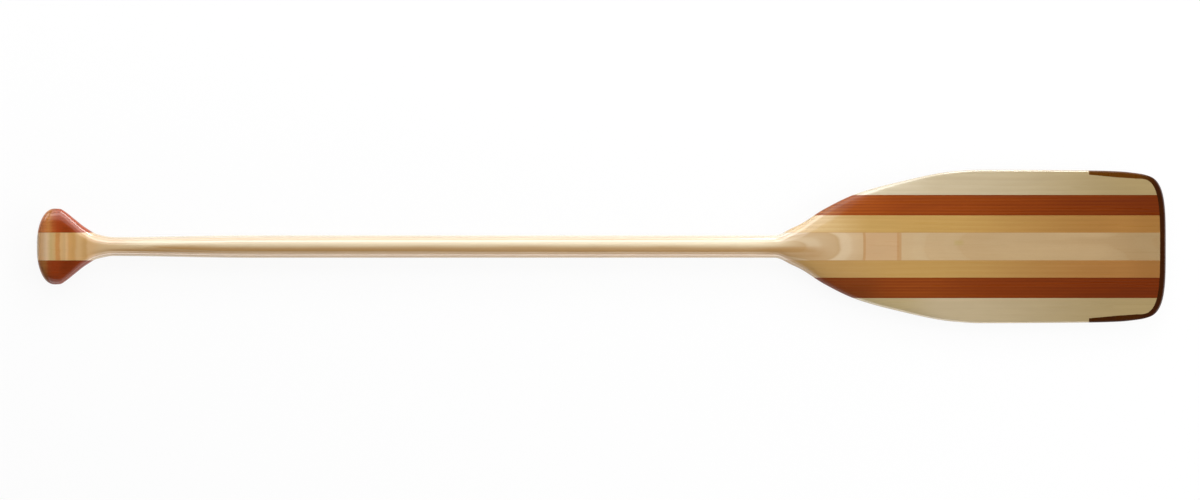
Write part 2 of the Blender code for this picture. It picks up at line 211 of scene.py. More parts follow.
def half_thickness(along, across, edge):
    """Half thicknesses at one place along: a flat middle except on the shaft, a crown and a rounded rim."""
    middle = flow(THICKNESS_LINE, along) - EDGE_RADIUS
    middle = middle * rounded(1 - along / PALM_SWELL_AT, PALM_EDGE_ROUNDNESS)
    wide = max(float(half_width(along)), WELD)
    flat = flow(FLAT_LINE, along)
    beyond_flat = np.clip((across / wide - flat) / (1 - flat), 0, 1)
    crown = (1 - beyond_flat ** flow(FULLNESS_LINE, along)) ** (1 / flow(SHOULDER_LINE, along))
    into_rim = np.minimum(rim_distances(along, across, edge) / EDGE_RADIUS, 1)
    return EDGE_RADIUS * np.sqrt(1 - (1 - into_rim) ** 2) + middle * crown


def carved_form():
    """The outside of the finished paddle: a grid wrapped round it ring by ring and closed at both ends."""
    places = stations()
    outline_places = np.union1d(places, np.arange(0, LENGTH, OUTLINE_SPACING))
    edge = np.stack((outline_places, half_width(outline_places)), axis=1)
    turns = np.linspace(0, 2 * math.pi, RING_STEPS + 1)
    upward = np.sign(np.round(np.sin(turns), 9))
    bm = bmesh.new()
    bmesh.ops.create_grid(bm, x_segments=RING_STEPS, y_segments=len(places) - 1, size=1)
    mesh = bpy.data.meshes.new("carved_form")
    bm.to_mesh(mesh)
    corners = []
    for along in places:
        across = half_width(along) * np.cos(turns)
        high = upward * half_thickness(along, np.abs(across), edge)
        if along in (places[0], places[-1]):
            across, high = across * 0, high * 0
        lengthwise = np.full_like(turns, along - LENGTH / 2)
        corners.append(np.stack((lengthwise, across, AXIS_HEIGHT + high), axis=1))
    mesh.vertices.foreach_set("co", np.concatenate(corners).ravel())
    bm.clear()
    bm.from_mesh(mesh)
    bmesh.ops.remove_doubles(bm, verts=bm.verts, dist=WELD)
    bmesh.ops.recalc_face_normals(bm, faces=bm.faces)
    bm.to_mesh(mesh)
    bm.free()
    return mesh


# The place where the guard takes over from the wood, a cutter and no piece of its own. The strips are milled
# back inside the guard's inner line, and a thin tongue is left standing at mid thickness for the guard's
# groove to grip. The same cutter ends the wood and hollows the guard.
GUARD_AT = 1.420
GUARD_WIDTH_AT_START = 0.0058
GUARD_SIDES_AT = 1.456
GUARD_WIDTH_AT_SIDES = 0.0082
GUARD_WIDTH_AT_CORNERS = 0.0076
GUARD_WIDTH_AT_TIP = 0.008
GUARD_SQUARENESS = 3.4
TONGUE_THICKNESS = 0.0024
TONGUE_DEPTH = 0.0035
CUTTER_OVERHANG = 0.004
CUTTER_TIP_STEPS = 40


def shown(name, data):
    """An object for a mesh, a lamp or a camera, in the scene."""
    made = bpy.data.objects.new(name, data)
    bpy.context.scene.collection.objects.link(made)
    return made


def inner_guard_line(outward):
    """Half outline of the strips' end inside the guard, or of the tongue when moved outward."""
    turns = np.linspace(0, math.pi / 2, CUTTER_TIP_STEPS + 1)
    reach = TIP_ROUNDING_LENGTH - GUARD_WIDTH_AT_TIP + outward
    start = float(half_width(GUARD_AT)) - GUARD_WIDTH_AT_START + outward
    side = float(half_width(GUARD_SIDES_AT)) - GUARD_WIDTH_AT_SIDES + outward
    corner = float(half_width(TIP_ROUNDING_AT)) - GUARD_WIDTH_AT_CORNERS + outward
    along = TIP_ROUNDING_AT + reach * np.sin(turns) ** (2 / GUARD_SQUARENESS)
    across = corner * np.maximum(np.cos(turns), 0) ** (2 / GUARD_SQUARENESS)
    rounding = zip(along[:-1], across[:-1])
    return [(GUARD_AT, start), (GUARD_SIDES_AT, side), *rounding, (TIP_ROUNDING_AT + reach, 0.0)]


def plan_prism(name, half_outline, thickness):
    """A flat outline, given as its left half from palm side to tip, extruded both ways from mid height."""
    outline = half_outline + [(along, -across) for along, across in reversed(half_outline) if across]
    low = AXIS_HEIGHT - thickness / 2
    bm = bmesh.new()
    ring = [bm.verts.new((along - LENGTH / 2, across, low)) for along, across in outline]
    floor_face = bm.faces.new(ring)
    grown = bmesh.ops.extrude_face_region(bm, geom=[floor_face])
    risen = [part for part in grown["geom"] if isinstance(part, bmesh.types.BMVert)]
    bmesh.ops.translate(bm, vec=(0, 0, thickness), verts=risen)
    bmesh.ops.recalc_face_normals(bm, faces=bm.faces)
    mesh = bpy.data.meshes.new(name)
    bm.to_mesh(mesh)
    bm.free()
    return shown(name, mesh)


def boolean(target, cutter, operation):
    """The mesh that a Boolean of one object with another leaves."""
    modifier = target.modifiers.new("boolean", "BOOLEAN")
    modifier.operation = operation
    modifier.solver = "EXACT"
    modifier.object = cutter
    bpy.context.view_layer.update()
    result = bpy.data.meshes.new_from_object(target.evaluated_get(bpy.context.evaluated_depsgraph_get()))
    target.modifiers.remove(modifier)
    return result


def keyed_room():
    """All of the paddle up to the guard, with the tongue standing out of it."""
    beyond = BLADE_WIDTH / 2 + CUTTER_OVERHANG
    body = [(-CUTTER_OVERHANG, beyond), (GUARD_AT, beyond), *inner_guard_line(0.0)]
    room = plan_prism("wood_room", body, SHAFT_THICKNESS + 2 * CUTTER_OVERHANG)
    tongue_line = inner_guard_line(TONGUE_DEPTH)
    tongue_line[0] = (GUARD_AT - TONGUE_DEPTH, tongue_line[0][1])
    tongue = plan_prism("tongue_room", tongue_line, TONGUE_THICKNESS)
    room.data = boolean(room, tongue, "UNION")
    bpy.data.objects.remove(tongue)
    return room


whole_form = shown("whole_form", carved_form())
wood_room = keyed_room()
wood_form = boolean(whole_form, wood_room, "INTERSECT")
guard_form = boolean(whole_form, wood_room, "DIFFERENCE")
bpy.data.objects.remove(whole_form)
bpy.data.objects.remove(wood_room)


# Core board of the stick: one pale, straight-grained board of basswood from palm end to tip, its faces planed
# flat for the glue. The shaft's sides and the middle of the blade are this board. Along the shaft its left
# edge is painted paler, painted light on the side that faces the lamps, and a pin knot shows in the blade.
STICK_WIDTH = 0.0375
CORE_THICKNESS = 0.0168
JOINT_GAP = 0.00002
SHARP_ANGLE = math.radians(30)
OPEN = (None, None)


def cut_away(bm, place, outward):
    """Cuts off everything beyond a plane and closes the cut with flat faces."""
    whole = [*bm.verts, *bm.edges, *bm.faces]
    cut = bmesh.ops.bisect_plane(
        bm, geom=whole, dist=WELD, plane_co=place, plane_no=outward, clear_outer=True)
    rim = [part for part in cut["geom_cut"] if isinstance(part, bmesh.types.BMEdge)]
    bmesh.ops.edgeloop_fill(bm, edges=rim)


def board(name, source, material, along=OPEN, across=OPEN, high=OPEN):
    """A board of the blank, carved: the part of the form inside its glue faces, smooth but for those faces.

    Each pair holds the board's two limits, None where it runs out to the carved surface. They are measured
    from the palm end, and across and up from the paddle's axis.
    """
    bm = bmesh.new()
    bm.from_mesh(source)
    origin = (-LENGTH / 2, 0, AXIS_HEIGHT)
    for axis, limits in enumerate((along, across, high)):
        for side, limit in zip((-1, 1), limits):
            if limit is None:
                continue
            place = [0, 0, 0]
            outward = [0, 0, 0]
            place[axis] = origin[axis] + limit - side * JOINT_GAP / 2
            outward[axis] = side
            cut_away(bm, place, outward)
    bmesh.ops.recalc_face_normals(bm, faces=bm.faces)
    mesh = bpy.data.meshes.new(name)
    bm.to_mesh(mesh)
    bm.free()
    mesh.materials.append(material)
    mesh.shade_smooth()
    mesh.set_sharp_from_angle(angle=SHARP_ANGLE)
    return shown(name, mesh)


def place_node(tree, kind, inputs=None, **settings):
    """Adds a shader node. An input is a plain value or the output that feeds it."""
    made = tree.nodes.new(kind)
    for name, value in settings.items():
        setattr(made, name, value)
    for socket, value in (inputs or {}).items():
        if isinstance(value, bpy.types.NodeSocket):
            tree.links.new(value, made.inputs[socket])
        else:
            made.inputs[socket].default_value = value
    return made


def maths(tree, operation, first, second=0.0, third=0.0):
    """Output of a Math node."""
    inputs = {0: first, 1: second, 2: third}
    return place_node(tree, "ShaderNodeMath", inputs, operation=operation).outputs[0]


def mixed(tree, share, first, second, blend="MIX"):
    """Output of a Mix node for colours, which go in at its sockets 6 and 7 and come out at 2."""
    inputs = {0: share, 6: first, 7: second}
    made = place_node(tree, "ShaderNodeMix", inputs, data_type="RGBA", blend_type=blend)
    return made.outputs[2]


def stretched(tree, vector, scale):
    """A vector multiplied axis by axis."""
    inputs = {0: vector, 1: scale}
    return place_node(tree, "ShaderNodeVectorMath", inputs, operation="MULTIPLY").outputs[0]


def noise(tree, vector, changes, detail, roughness=0.5):
    """Output of a Noise node that changes about this many times in a metre along each axis."""
    inputs = {
        "Vector": stretched(tree, vector, changes),
        "Scale": 1.0,
        "Detail": detail,
        "Roughness": roughness,
    }
    return place_node(tree, "ShaderNodeTexNoise", inputs).outputs["Fac"]


def ranged(tree, value, start, end, low=0.0, high=1.0, kind="LINEAR"):
    """Output of a Map Range node: low where the value is at its start, high where it is at its end."""
    inputs = {"Value": value, "From Min": start, "From Max": end, "To Min": low, "To Max": high}
    return place_node(tree, "ShaderNodeMapRange", inputs, interpolation_type=kind).outputs["Result"]


def ramp_of(tree, share, tones, kind="LINEAR"):
    """Output of a Color Ramp node with these (position, colour) stops, given in rising order."""
    made = place_node(tree, "ShaderNodeValToRGB", {0: share})
    made.color_ramp.interpolation = kind
    stops = made.color_ramp.elements
    for index, (position, colour) in enumerate(tones):
        stop = stops[index] if index < 2 else stops.new(1.0)
        stop.position = position
        stop.color = (*colour, 1)
    return made.outputs["Color"]


def node_group(name, inputs, outputs):
    """An empty shader node group with its group nodes, its inputs given as name: value, None for a vector."""
    group = bpy.data.node_groups.new(name, "ShaderNodeTree")
    for label, value in inputs.items():
        kind = "NodeSocketVector" if value is None else "NodeSocketFloat"
        socket = group.interface.new_socket(label, in_out="INPUT", socket_type=kind)
        if value is not None:
            socket.default_value = value
    for label in outputs:
        group.interface.new_socket(label, in_out="OUTPUT", socket_type="NodeSocketFloat")
    source = group.nodes.new("NodeGroupInput")
    result = group.nodes.new("NodeGroupOutput")
    return group, source.outputs, result.inputs


RING_DRIFT = 28.0
YEARLY_LUCK = 0.3
# How dark the wood is through one year's growth, from its start at 0 to its end at 1.
SEASON_SHADES = (
    (0.00, 0.15),
    (0.06, 0.02),
    (0.28, 0.10),
    (0.44, 0.55),
    (0.84, 0.85),
    (0.92, 1.00),
    (1.00, 0.15),
)


def growth_rings():
    """Year rings round a pith line that runs along the paddle: pale early wood, then a darker late line."""
    group, given, result = node_group(
        "growth_rings",
        {"Vector": None, "Ring Spacing": 0.002, "Wander": 0.0003, "Wander Length": 0.3, "Phase": 0.0},
        ["Latewood"],
    )
    radial = stretched(group, given["Vector"], (0, 1, 1))
    distance = place_node(group, "ShaderNodeVectorMath", {0: radial}, operation="LENGTH").outputs["Value"]
    lengthwise = maths(group, "DIVIDE", 1.0, given["Wander Length"])
    changes = place_node(
        group, "ShaderNodeCombineXYZ", {0: lengthwise, 1: RING_DRIFT, 2: RING_DRIFT}).outputs[0]
    off_centre = maths(group, "SUBTRACT", noise(group, given["Vector"], changes, detail=2.0), 0.5)
    wandering = maths(group, "MULTIPLY_ADD", off_centre, given["Wander"], distance)
    years = maths(group, "ADD", maths(group, "DIVIDE", wandering, given["Ring Spacing"]), given["Phase"])
    year = maths(group, "FLOOR", years)
    luck = place_node(group, "ShaderNodeTexWhiteNoise", {"W": year}, noise_dimensions="1D").outputs["Value"]
    shades = [(share, (shade, shade, shade)) for share, shade in SEASON_SHADES]
    late = ramp_of(group, maths(group, "FRACT", years), shades)
    strength = maths(group, "MULTIPLY_ADD", luck, YEARLY_LUCK, 1 - YEARLY_LUCK)
    group.links.new(maths(group, "MULTIPLY", late, strength), result["Latewood"])
    return group


def wood_fibre():
    """Fine streaks along the grain, pores, and a broad slow change of tone along and across the board."""
    group, given, result = node_group(
        "wood_fibre",
        {"Vector": None, "Streak Width": 0.002, "Streak Length": 0.12},
        ["Streaks", "Pores", "Cloud"],
    )
    vector = given["Vector"]
    along = maths(group, "DIVIDE", 1.0, given["Streak Length"])
    across = maths(group, "DIVIDE", 1.0, given["Streak Width"])
    changes = place_node(group, "ShaderNodeCombineXYZ", {0: along, 1: across, 2: across}).outputs[0]
    streaks = noise(group, vector, changes, detail=5.0, roughness=0.62)
    pores = noise(group, vector, (260.0, 3400.0, 3400.0), detail=1.0)
    cloud = noise(group, vector, (9.0, 45.0, 45.0), detail=3.0, roughness=0.55)
    group.links.new(ranged(group, streaks, 0.3, 0.7), result["Streaks"])
    group.links.new(ranged(group, pores, 0.58, 0.74), result["Pores"])
    group.links.new(ranged(group, cloud, 0.3, 0.7), result["Cloud"])
    return group


STREAK_WANDER = 0.006
STREAK_GRAIN = 0.6
STREAK_BODY = 0.55


def stain_and_light_streak():
    """A soft band of another tone along a board, fading at both ends, for stains and painted light and shade.
    """
    group, given, result = node_group(
        "stain_and_light_streak",
        {"Vector": None, "Middle": 0.0, "Half Width": 0.004, "From": 0.0, "To": 1.0, "Fade": 0.06},
        ["Mask"],
    )
    place = place_node(group, "ShaderNodeSeparateXYZ", {0: given["Vector"]}).outputs
    wave = noise(group, given["Vector"], (7.0, 60.0, 60.0), detail=3.0)
    fine = noise(group, given["Vector"], (10.0, 900.0, 900.0), detail=2.0)
    off_centre = maths(group, "SUBTRACT", wave, 0.5)
    wandering = maths(group, "MULTIPLY_ADD", off_centre, STREAK_WANDER, given["Middle"])
    away = maths(group, "ABSOLUTE", maths(group, "SUBTRACT", place["Y"], wandering))
    share = maths(group, "DIVIDE", away, given["Half Width"])
    band = ranged(group, share, 0.1, 1.0, low=1.0, high=0.0, kind="SMOOTHSTEP")
    full_from = maths(group, "ADD", given["From"], given["Fade"])
    full_to = maths(group, "SUBTRACT", given["To"], given["Fade"])
    rises = ranged(group, place["X"], given["From"], full_from, kind="SMOOTHSTEP")
    falls = ranged(group, place["X"], given["To"], full_to, kind="SMOOTHSTEP")
    fading = maths(group, "MULTIPLY", rises, falls)
    streaked = maths(group, "MULTIPLY_ADD", fine, STREAK_GRAIN, STREAK_BODY)
    mask = maths(group, "MULTIPLY", maths(group, "MULTIPLY", band, fading), streaked)
    group.links.new(maths(group, "MINIMUM", mask, 1.0), result["Mask"])
    return group


def glue_line():
    """Where the dark line of glue and pressed wood lies, on both sides of a flat joint."""
    group, given, result = node_group(
        "glue_line",
        {"Coordinate": 0.0, "Joint": 0.0, "Half Width": 0.0001},
        ["Mask"],
    )
    away = maths(group, "ABSOLUTE", maths(group, "SUBTRACT", given["Coordinate"], given["Joint"]))
    share = maths(group, "DIVIDE", away, given["Half Width"])
    mask = ranged(group, share, 0.7, 1.3, low=1.0, high=0.0, kind="SMOOTHSTEP")
    group.links.new(mask, result["Mask"])
    return group


GROWTH_RINGS = growth_rings()
WOOD_FIBRE = wood_fibre()
STAIN_AND_LIGHT_STREAK = stain_and_light_streak()
GLUE_LINE = glue_line()


def use_group(tree, group, inputs):
    """Places a node group in a material with its own values and gives its outputs."""
    return place_node(tree, "ShaderNodeGroup", inputs, node_tree=group).outputs


def new_material(name):
    """A new material, with its node tree and its shader."""
    material = bpy.data.materials.new(name)
    material.use_nodes = True
    tree = material.node_tree
    return material, tree, tree.nodes["Principled BSDF"]


def tone_along(tree, place_x, tones, reach=LENGTH):
    """A colour that changes along the paddle, from (place from the palm end, colour) stops within a reach."""
    share = maths(tree, "DIVIDE", maths(tree, "ADD", place_x, LENGTH / 2), reach)
    stops = [(along / reach, colour) for along, colour in tones]
    return ramp_of(tree, share, stops, "EASE")


def dimmed(tones, factor):
    """The same tones along the paddle, all darker or lighter by a factor."""
    return tuple((along, tuple(part * factor for part in colour)) for along, colour in tones)


GRIP_BANDS_REACH = 0.12
GRIP_BANDS_RIPPLE = 0.004
GRAIN_RELIEF = 0.00005
PORE_DEPTH = 0.6
VARNISH_SMOOTHEST = 0.24
VARNISH_ROUGHEST = 0.36


def grain(tree, wood, place):
    """The outputs for year rings and fibre of a wood, round its own pith and along its own grain."""
    pith_y, pith_z = wood["pith"]
    location = (0, -pith_y, -AXIS_HEIGHT - pith_z)
    rotation = (0, -wood.get("run_out", 0.0), 0)
    inputs = {"Vector": place, "Location": location, "Rotation": rotation}
    centred = place_node(tree, "ShaderNodeMapping", inputs, vector_type="POINT").outputs[0]
    rings = use_group(tree, GROWTH_RINGS, {
        "Vector": centred,
        "Ring Spacing": wood["ring_spacing"],
        "Wander": wood["wander"],
        "Wander Length": wood["wander_length"],
        "Phase": wood.get("phase", 0.0),
    })
    fibre = use_group(tree, WOOD_FIBRE, {
        "Vector": centred,
        "Streak Width": wood["streak_width"],
        "Streak Length": wood["streak_length"],
    })
    return rings, fibre


def with_streak(tree, colour, place, streak):
    """A colour with one streak laid over it: a knot's stain, a brown stain, painted light and painted shade.
    """
    mask = use_group(tree, STAIN_AND_LIGHT_STREAK, {
        "Vector": place,
        "Middle": streak["middle"],
        "Half Width": streak["half_width"],
        "From": streak["start"] - LENGTH / 2,
        "To": streak["end"] - LENGTH / 2,
        "Fade": streak["fade"],
    })["Mask"]
    return mixed(tree, maths(tree, "MULTIPLY", mask, streak["shows"]), colour, (*streak["colour"], 1))


def with_glue_line(tree, colour, coordinate, joint, half_line, wood):
    """A colour with the line of one glue joint laid over it."""
    inputs = {"Coordinate": coordinate, "Joint": joint, "Half Width": half_line}
    mask = use_group(tree, GLUE_LINE, inputs)["Mask"]
    return mixed(tree, maths(tree, "MULTIPLY", mask, wood["glue_shows"]), colour, (*wood["glue"], 1))


def varnished_wood(name, wood, joints=()):
    """A wood under clear gloss varnish.

    The wood gives early and late colours along the paddle, where its pith lies from the paddle's axis, how
    its rings and fibres run and how strongly each shows. A joint is (axis, place, half width of its line).
    """
    material, tree, shader = new_material(name)
    place = place_node(tree, "ShaderNodeTexCoord").outputs["Object"]
    separate = place_node(tree, "ShaderNodeSeparateXYZ", {0: place}).outputs
    rings, fibre = grain(tree, wood, place)
    late_share = maths(tree, "MULTIPLY", rings["Latewood"], wood["ring_contrast"])
    streak_share = maths(tree, "MULTIPLY", fibre["Streaks"], wood["streak_contrast"])
    early = tone_along(tree, separate["X"], wood["early"])
    late = tone_along(tree, separate["X"], wood["late"])
    colour = mixed(tree, maths(tree, "ADD", late_share, streak_share), early, late)
    cloudy = ranged(tree, fibre["Cloud"], 0.0, 1.0, low=1 - wood["cloud"], high=1 + wood["cloud"])
    tint = place_node(tree, "ShaderNodeCombineColor", {0: cloudy, 1: cloudy, 2: cloudy}).outputs[0]
    colour = mixed(tree, 1.0, colour, tint, "MULTIPLY")
    if "grip_bands" in wood:
        ripple = maths(tree, "SUBTRACT", noise(tree, place, (40.0, 90.0, 40.0), detail=2.0), 0.5)
        rippled = maths(tree, "MULTIPLY_ADD", ripple, GRIP_BANDS_RIPPLE, separate["X"])
        bands = tone_along(tree, rippled, wood["grip_bands"], GRIP_BANDS_REACH)
        colour = mixed(tree, 1.0, colour, bands, "MULTIPLY")
    colour = mixed(tree, maths(tree, "MULTIPLY", fibre["Pores"], wood["pore_contrast"]), colour, late)
    for streak in wood.get("streaks", ()):
        colour = with_streak(tree, colour, place, streak)
    from_axis = {
        "height": maths(tree, "ABSOLUTE", maths(tree, "SUBTRACT", separate["Z"], AXIS_HEIGHT)),
        "across": maths(tree, "ABSOLUTE", separate["Y"]),
    }
    for axis, joint, half_line in joints:
        colour = with_glue_line(tree, colour, from_axis[axis], joint, half_line, wood)
    tree.links.new(colour, shader.inputs["Base Color"])
    roughness = ranged(tree, fibre["Streaks"], 0.0, 1.0, low=VARNISH_SMOOTHEST, high=VARNISH_ROUGHEST)
    tree.links.new(roughness, shader.inputs["Roughness"])
    relief = maths(tree, "MULTIPLY_ADD", fibre["Pores"], -PORE_DEPTH, late_share)
    bump = place_node(
        tree, "ShaderNodeBump", {"Height": relief, "Strength": 0.25, "Distance": GRAIN_RELIEF})
    tree.links.new(bump.outputs["Normal"], shader.inputs["Normal"])
    shader.inputs["Metallic"].default_value = 0.0
    shader.inputs["Specular IOR Level"].default_value = 0.15
    shader.inputs["Coat Weight"].default_value = wood["gloss"]
    shader.inputs["Coat Roughness"].default_value = 0.12
    shader.inputs["Coat IOR"].default_value = 2.0
    return material


PALE_BASSWOOD = {
    "early": (
        (0.013, (0.662, 0.464, 0.280)),
        (0.090, (0.632, 0.448, 0.249)),
        (0.240, (0.595, 0.457, 0.293)),
        (0.950, (0.600, 0.460, 0.295)),
        (1.080, (0.600, 0.455, 0.290)),
    ),
    "late": (
        (0.056, (0.650, 0.450, 0.250)),
        (0.130, (0.430, 0.230, 0.075)),
        (0.950, (0.430, 0.230, 0.080)),
        (1.030, (0.490, 0.330, 0.170)),
    ),
    "run_out": 0.0003,
    "phase": 0.743,
    "ring_spacing": 0.0015,
    "ring_contrast": 1.0,
    "wander": 0.0006,
    "wander_length": 0.35,
    "streak_width": 0.0035,
    "streak_length": 0.16,
    "streak_contrast": 0.16,
    "pore_contrast": 0.25,
    "cloud": 0.035,
    "gloss": 1.0,
    "glue": (0.42, 0.215, 0.075),
    "glue_shows": 0.6,
}
PIN_KNOT = {
    "colour": (0.380, 0.290, 0.090),
    "middle": 0.0044,
    "half_width": 0.0052,
    "start": 1.235,
    "end": 1.253,
    "fade": 0.006,
    "shows": 0.50,
}
# Painted light: a paler band along the shaft's left side, which faces the lamps.
PAINTED_LIGHT_LEFT_EDGE = {
    "colour": (0.660, 0.640, 0.530),
    "middle": 0.0170,
    "half_width": 0.0120,
    "start": 0.075,
    "end": 1.060,
    "fade": 0.050,
    "shows": 0.80,
}
# The core darkens towards the tip, partly its own tone and partly painted shade for light that falls off along
# the blade.
CORE_WOOD = dict(
    PALE_BASSWOOD,
    early=(
        (1.10, (0.530, 0.398, 0.237)),
        (1.30, (0.455, 0.320, 0.170)),
        (1.42, (0.443, 0.309, 0.162)),
        (1.50, (0.335, 0.228, 0.112)),
    ),
    late=((1.10, (0.430, 0.250, 0.095)), (1.50, (0.300, 0.170, 0.065))),
    ring_contrast=0.22,
    pith=(0.0, -0.35),
    wander=0.0016,
    streaks=(PIN_KNOT, PAINTED_LIGHT_LEFT_EDGE),
)


def fit(piece, node):
    """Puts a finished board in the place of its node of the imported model."""
    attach(piece, "root")
    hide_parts(node)


STICK_SIDE = STICK_WIDTH / 2
CORE_FACE = CORE_THICKNESS / 2
CORE_GLUE_HALF_LINE = 0.00012
STRIP_GLUE_HALF_LINE = 0.00018

core_joints = (("height", CORE_FACE, CORE_GLUE_HALF_LINE), ("across", STICK_SIDE, STRIP_GLUE_HALF_LINE))
core = board(
    "carved_stick_core", wood_form, varnished_wood("core_basswood", CORE_WOOD, core_joints),
    across=(-STICK_SIDE, STICK_SIDE), high=(-CORE_FACE, CORE_FACE))
fit(core, "stick_core")


# Veneers of the stick: two thin boards of a warmer tone, glued to the faces of the core over its full length.
# They come to the surface as a fine line along the shaft, and as a warm band across the blade where it thins.
VENEER_THICKNESS = 0.0019
VENEER_FACE = CORE_FACE + VENEER_THICKNESS
VENEER_GLUE_HALF_LINE = 0.00007
VENEER_WOOD = dict(
    PALE_BASSWOOD,
    early=((1.00, (0.500, 0.318, 0.165)), (1.50, (0.500, 0.318, 0.165))),
    pith=(0.0, -0.4),
    ring_contrast=0.25,
    # The veneers carry the same painted light along the shaft's left side.
    streaks=(PAINTED_LIGHT_LEFT_EDGE,),
)
FACES = ((1, "front"), (-1, "back"))

veneer_joints = (
    ("height", CORE_FACE, CORE_GLUE_HALF_LINE),
    ("height", VENEER_FACE, VENEER_GLUE_HALF_LINE),
    ("across", STICK_SIDE, STRIP_GLUE_HALF_LINE),
)
for side, name in FACES:
    veneer_material = varnished_wood(f"veneer_basswood_{name}", VENEER_WOOD, veneer_joints)
    veneer = board(
        f"carved_stick_veneer_{name}", wood_form, veneer_material,
        across=(-STICK_SIDE, STICK_SIDE), high=sorted((side * CORE_FACE, side * VENEER_FACE)))
    fit(veneer, f"stick_veneer_{name}")


# Face boards of the stick: two flat-sawn boards over the veneers, the top and bottom of grip and shaft, which
# feather out across the throat. Their year rings lie almost flat, so that a carved hollow or slope cuts them
# into bands and long pointed figures. A paler band is painted along the shaft's left half as painted light,
# a brown band just right of its middle is partly brown stain and partly painted shade, and a broad brown band
# is painted over the throat's right side as painted shade.
# Painted light: a paler band on the shaft's left half, which faces the lamps.
PAINTED_LIGHT_SHAFT_LEFT = {
    "colour": (0.770, 0.660, 0.450),
    "middle": 0.0048,
    "half_width": 0.0075,
    "start": 0.090,
    "end": 1.040,
    "fade": 0.060,
    "shows": 0.75,
}
# A brown band just right of the shaft's middle: partly brown stain, partly painted shade where the oval turns
# away from the lamps.
BROWN_STAIN_AND_SHADE = {
    "colour": (0.400, 0.225, 0.075),
    "middle": -0.0042,
    "half_width": 0.0065,
    "start": 0.110,
    "end": 1.070,
    "fade": 0.060,
    "shows": 0.75,
}
# Painted shade: a broad brown band over the throat's right side, which faces away from the lamps.
THROAT_PAINTED_SHADE = {
    "colour": (0.370, 0.200, 0.065),
    "middle": -0.0090,
    "half_width": 0.0145,
    "start": 0.960,
    "end": 1.080,
    "fade": 0.035,
    "shows": 0.75,
}
# Tints of the bands across the grip, which multiply the face boards' colour.
GRIP_BANDS = (
    (0.0060, (1.22, 1.00, 0.78)),
    (0.0140, (0.98, 0.96, 0.98)),
    (0.0215, (0.68, 0.67, 0.49)),
    (0.0255, (0.72, 0.65, 0.45)),
    (0.0282, (0.70, 0.47, 0.25)),
    (0.0316, (0.70, 0.47, 0.25)),
    (0.0345, (0.92, 0.80, 0.57)),
    (0.0385, (0.92, 0.82, 0.64)),
    (0.0415, (1.10, 0.97, 0.77)),
    (0.0450, (1.05, 0.82, 0.50)),
    (0.0515, (0.96, 0.75, 0.44)),
    (0.0570, (0.98, 0.86, 0.66)),
    (0.0670, (0.84, 0.69, 0.45)),
    (0.0720, (0.99, 0.88, 0.74)),
    (0.0950, (1.00, 1.00, 1.00)),
)

face_joints = (
    ("height", VENEER_FACE, VENEER_GLUE_HALF_LINE),
    ("across", STICK_SIDE, STRIP_GLUE_HALF_LINE),
)
for side, name in FACES:
    face_wood = dict(
        PALE_BASSWOOD,
        pith=(0.0, side * 0.6),
        run_out=side * PALE_BASSWOOD["run_out"],
        grip_bands=GRIP_BANDS,
        streaks=(PAINTED_LIGHT_SHAFT_LEFT, BROWN_STAIN_AND_SHADE, THROAT_PAINTED_SHADE),
    )
    face_material = varnished_wood(f"face_basswood_{name}", face_wood, face_joints)
    face = board(
        f"carved_stick_face_{name}", wood_form, face_material, across=(-STICK_SIDE, STICK_SIDE),
        high=(VENEER_FACE, None) if side > 0 else (None, -VENEER_FACE))
    fit(face, f"stick_face_{name}")


# Grip cheeks: two blocks of red-brown cedar glued to the sides of the stick and carved with it into the palm
# grip. Their grain runs lengthwise. Towards the palm end they are painted lighter and more golden, painted
# light on the rounded end where it faces the lamps.
RED_CEDAR = {
    # The early tones serve the left middle strip: lightest at its start, painted light on the throat's slope
    # that faces the lamps, then darker towards the tip, partly the wood's own tone and partly painted shade.
    "early": (
        (1.06, (0.440, 0.150, 0.035)),
        (1.10, (0.345, 0.082, 0.011)),
        (1.17, (0.275, 0.060, 0.008)),
        (1.42, (0.195, 0.037, 0.004)),
        (1.50, (0.152, 0.027, 0.0025)),
    ),
    "late": ((1.10, (0.175, 0.029, 0.004)), (1.50, (0.105, 0.015, 0.002))),
    "ring_spacing": 0.0042,
    "ring_contrast": 0.55,
    "wander": 0.004,
    "wander_length": 0.45,
    "streak_width": 0.0045,
    "streak_length": 0.22,
    "streak_contrast": 0.45,
    "pore_contrast": 0.35,
    "cloud": 0.06,
    "gloss": 0.36,
    "glue": (0.13, 0.03, 0.008),
    "glue_shows": 0.6,
}
SIDES = ((1, "left"), (-1, "right"))

cheek_joints = (("across", STICK_SIDE, STRIP_GLUE_HALF_LINE),)
for side, name in SIDES:
    # The right cheek is painted darker, painted shade of the side away from the lamps, and its painted golden
    # light at the palm end is shorter.
    cheek_painted_shade, palm_light_end = (0.93, 0.027) if side > 0 else (0.60, 0.020)
    cheek_tones_with_light = (
        (palm_light_end - 0.017, (0.720, 0.240, 0.078)),
        (palm_light_end - 0.010, (0.560, 0.230, 0.060)),
        (palm_light_end, (0.350, 0.052, 0.008)),
    )
    cheek_wood = dict(
        RED_CEDAR,
        early=dimmed(cheek_tones_with_light, cheek_painted_shade),
        late=dimmed(RED_CEDAR["late"], cheek_painted_shade),
        pith=(side * 0.35, 0.02),
        ring_contrast=0.18,
        streak_contrast=0.30,
    )
    cheek_material = varnished_wood(f"cheek_cedar_{name}", cheek_wood, cheek_joints)
    cheek = board(
        f"carved_grip_cheek_{name}", wood_form, cheek_material, along=(None, NECK_AT),
        across=(STICK_SIDE, None) if side > 0 else (None, -STICK_SIDE))
    fit(cheek, f"grip_cheek_{name}")


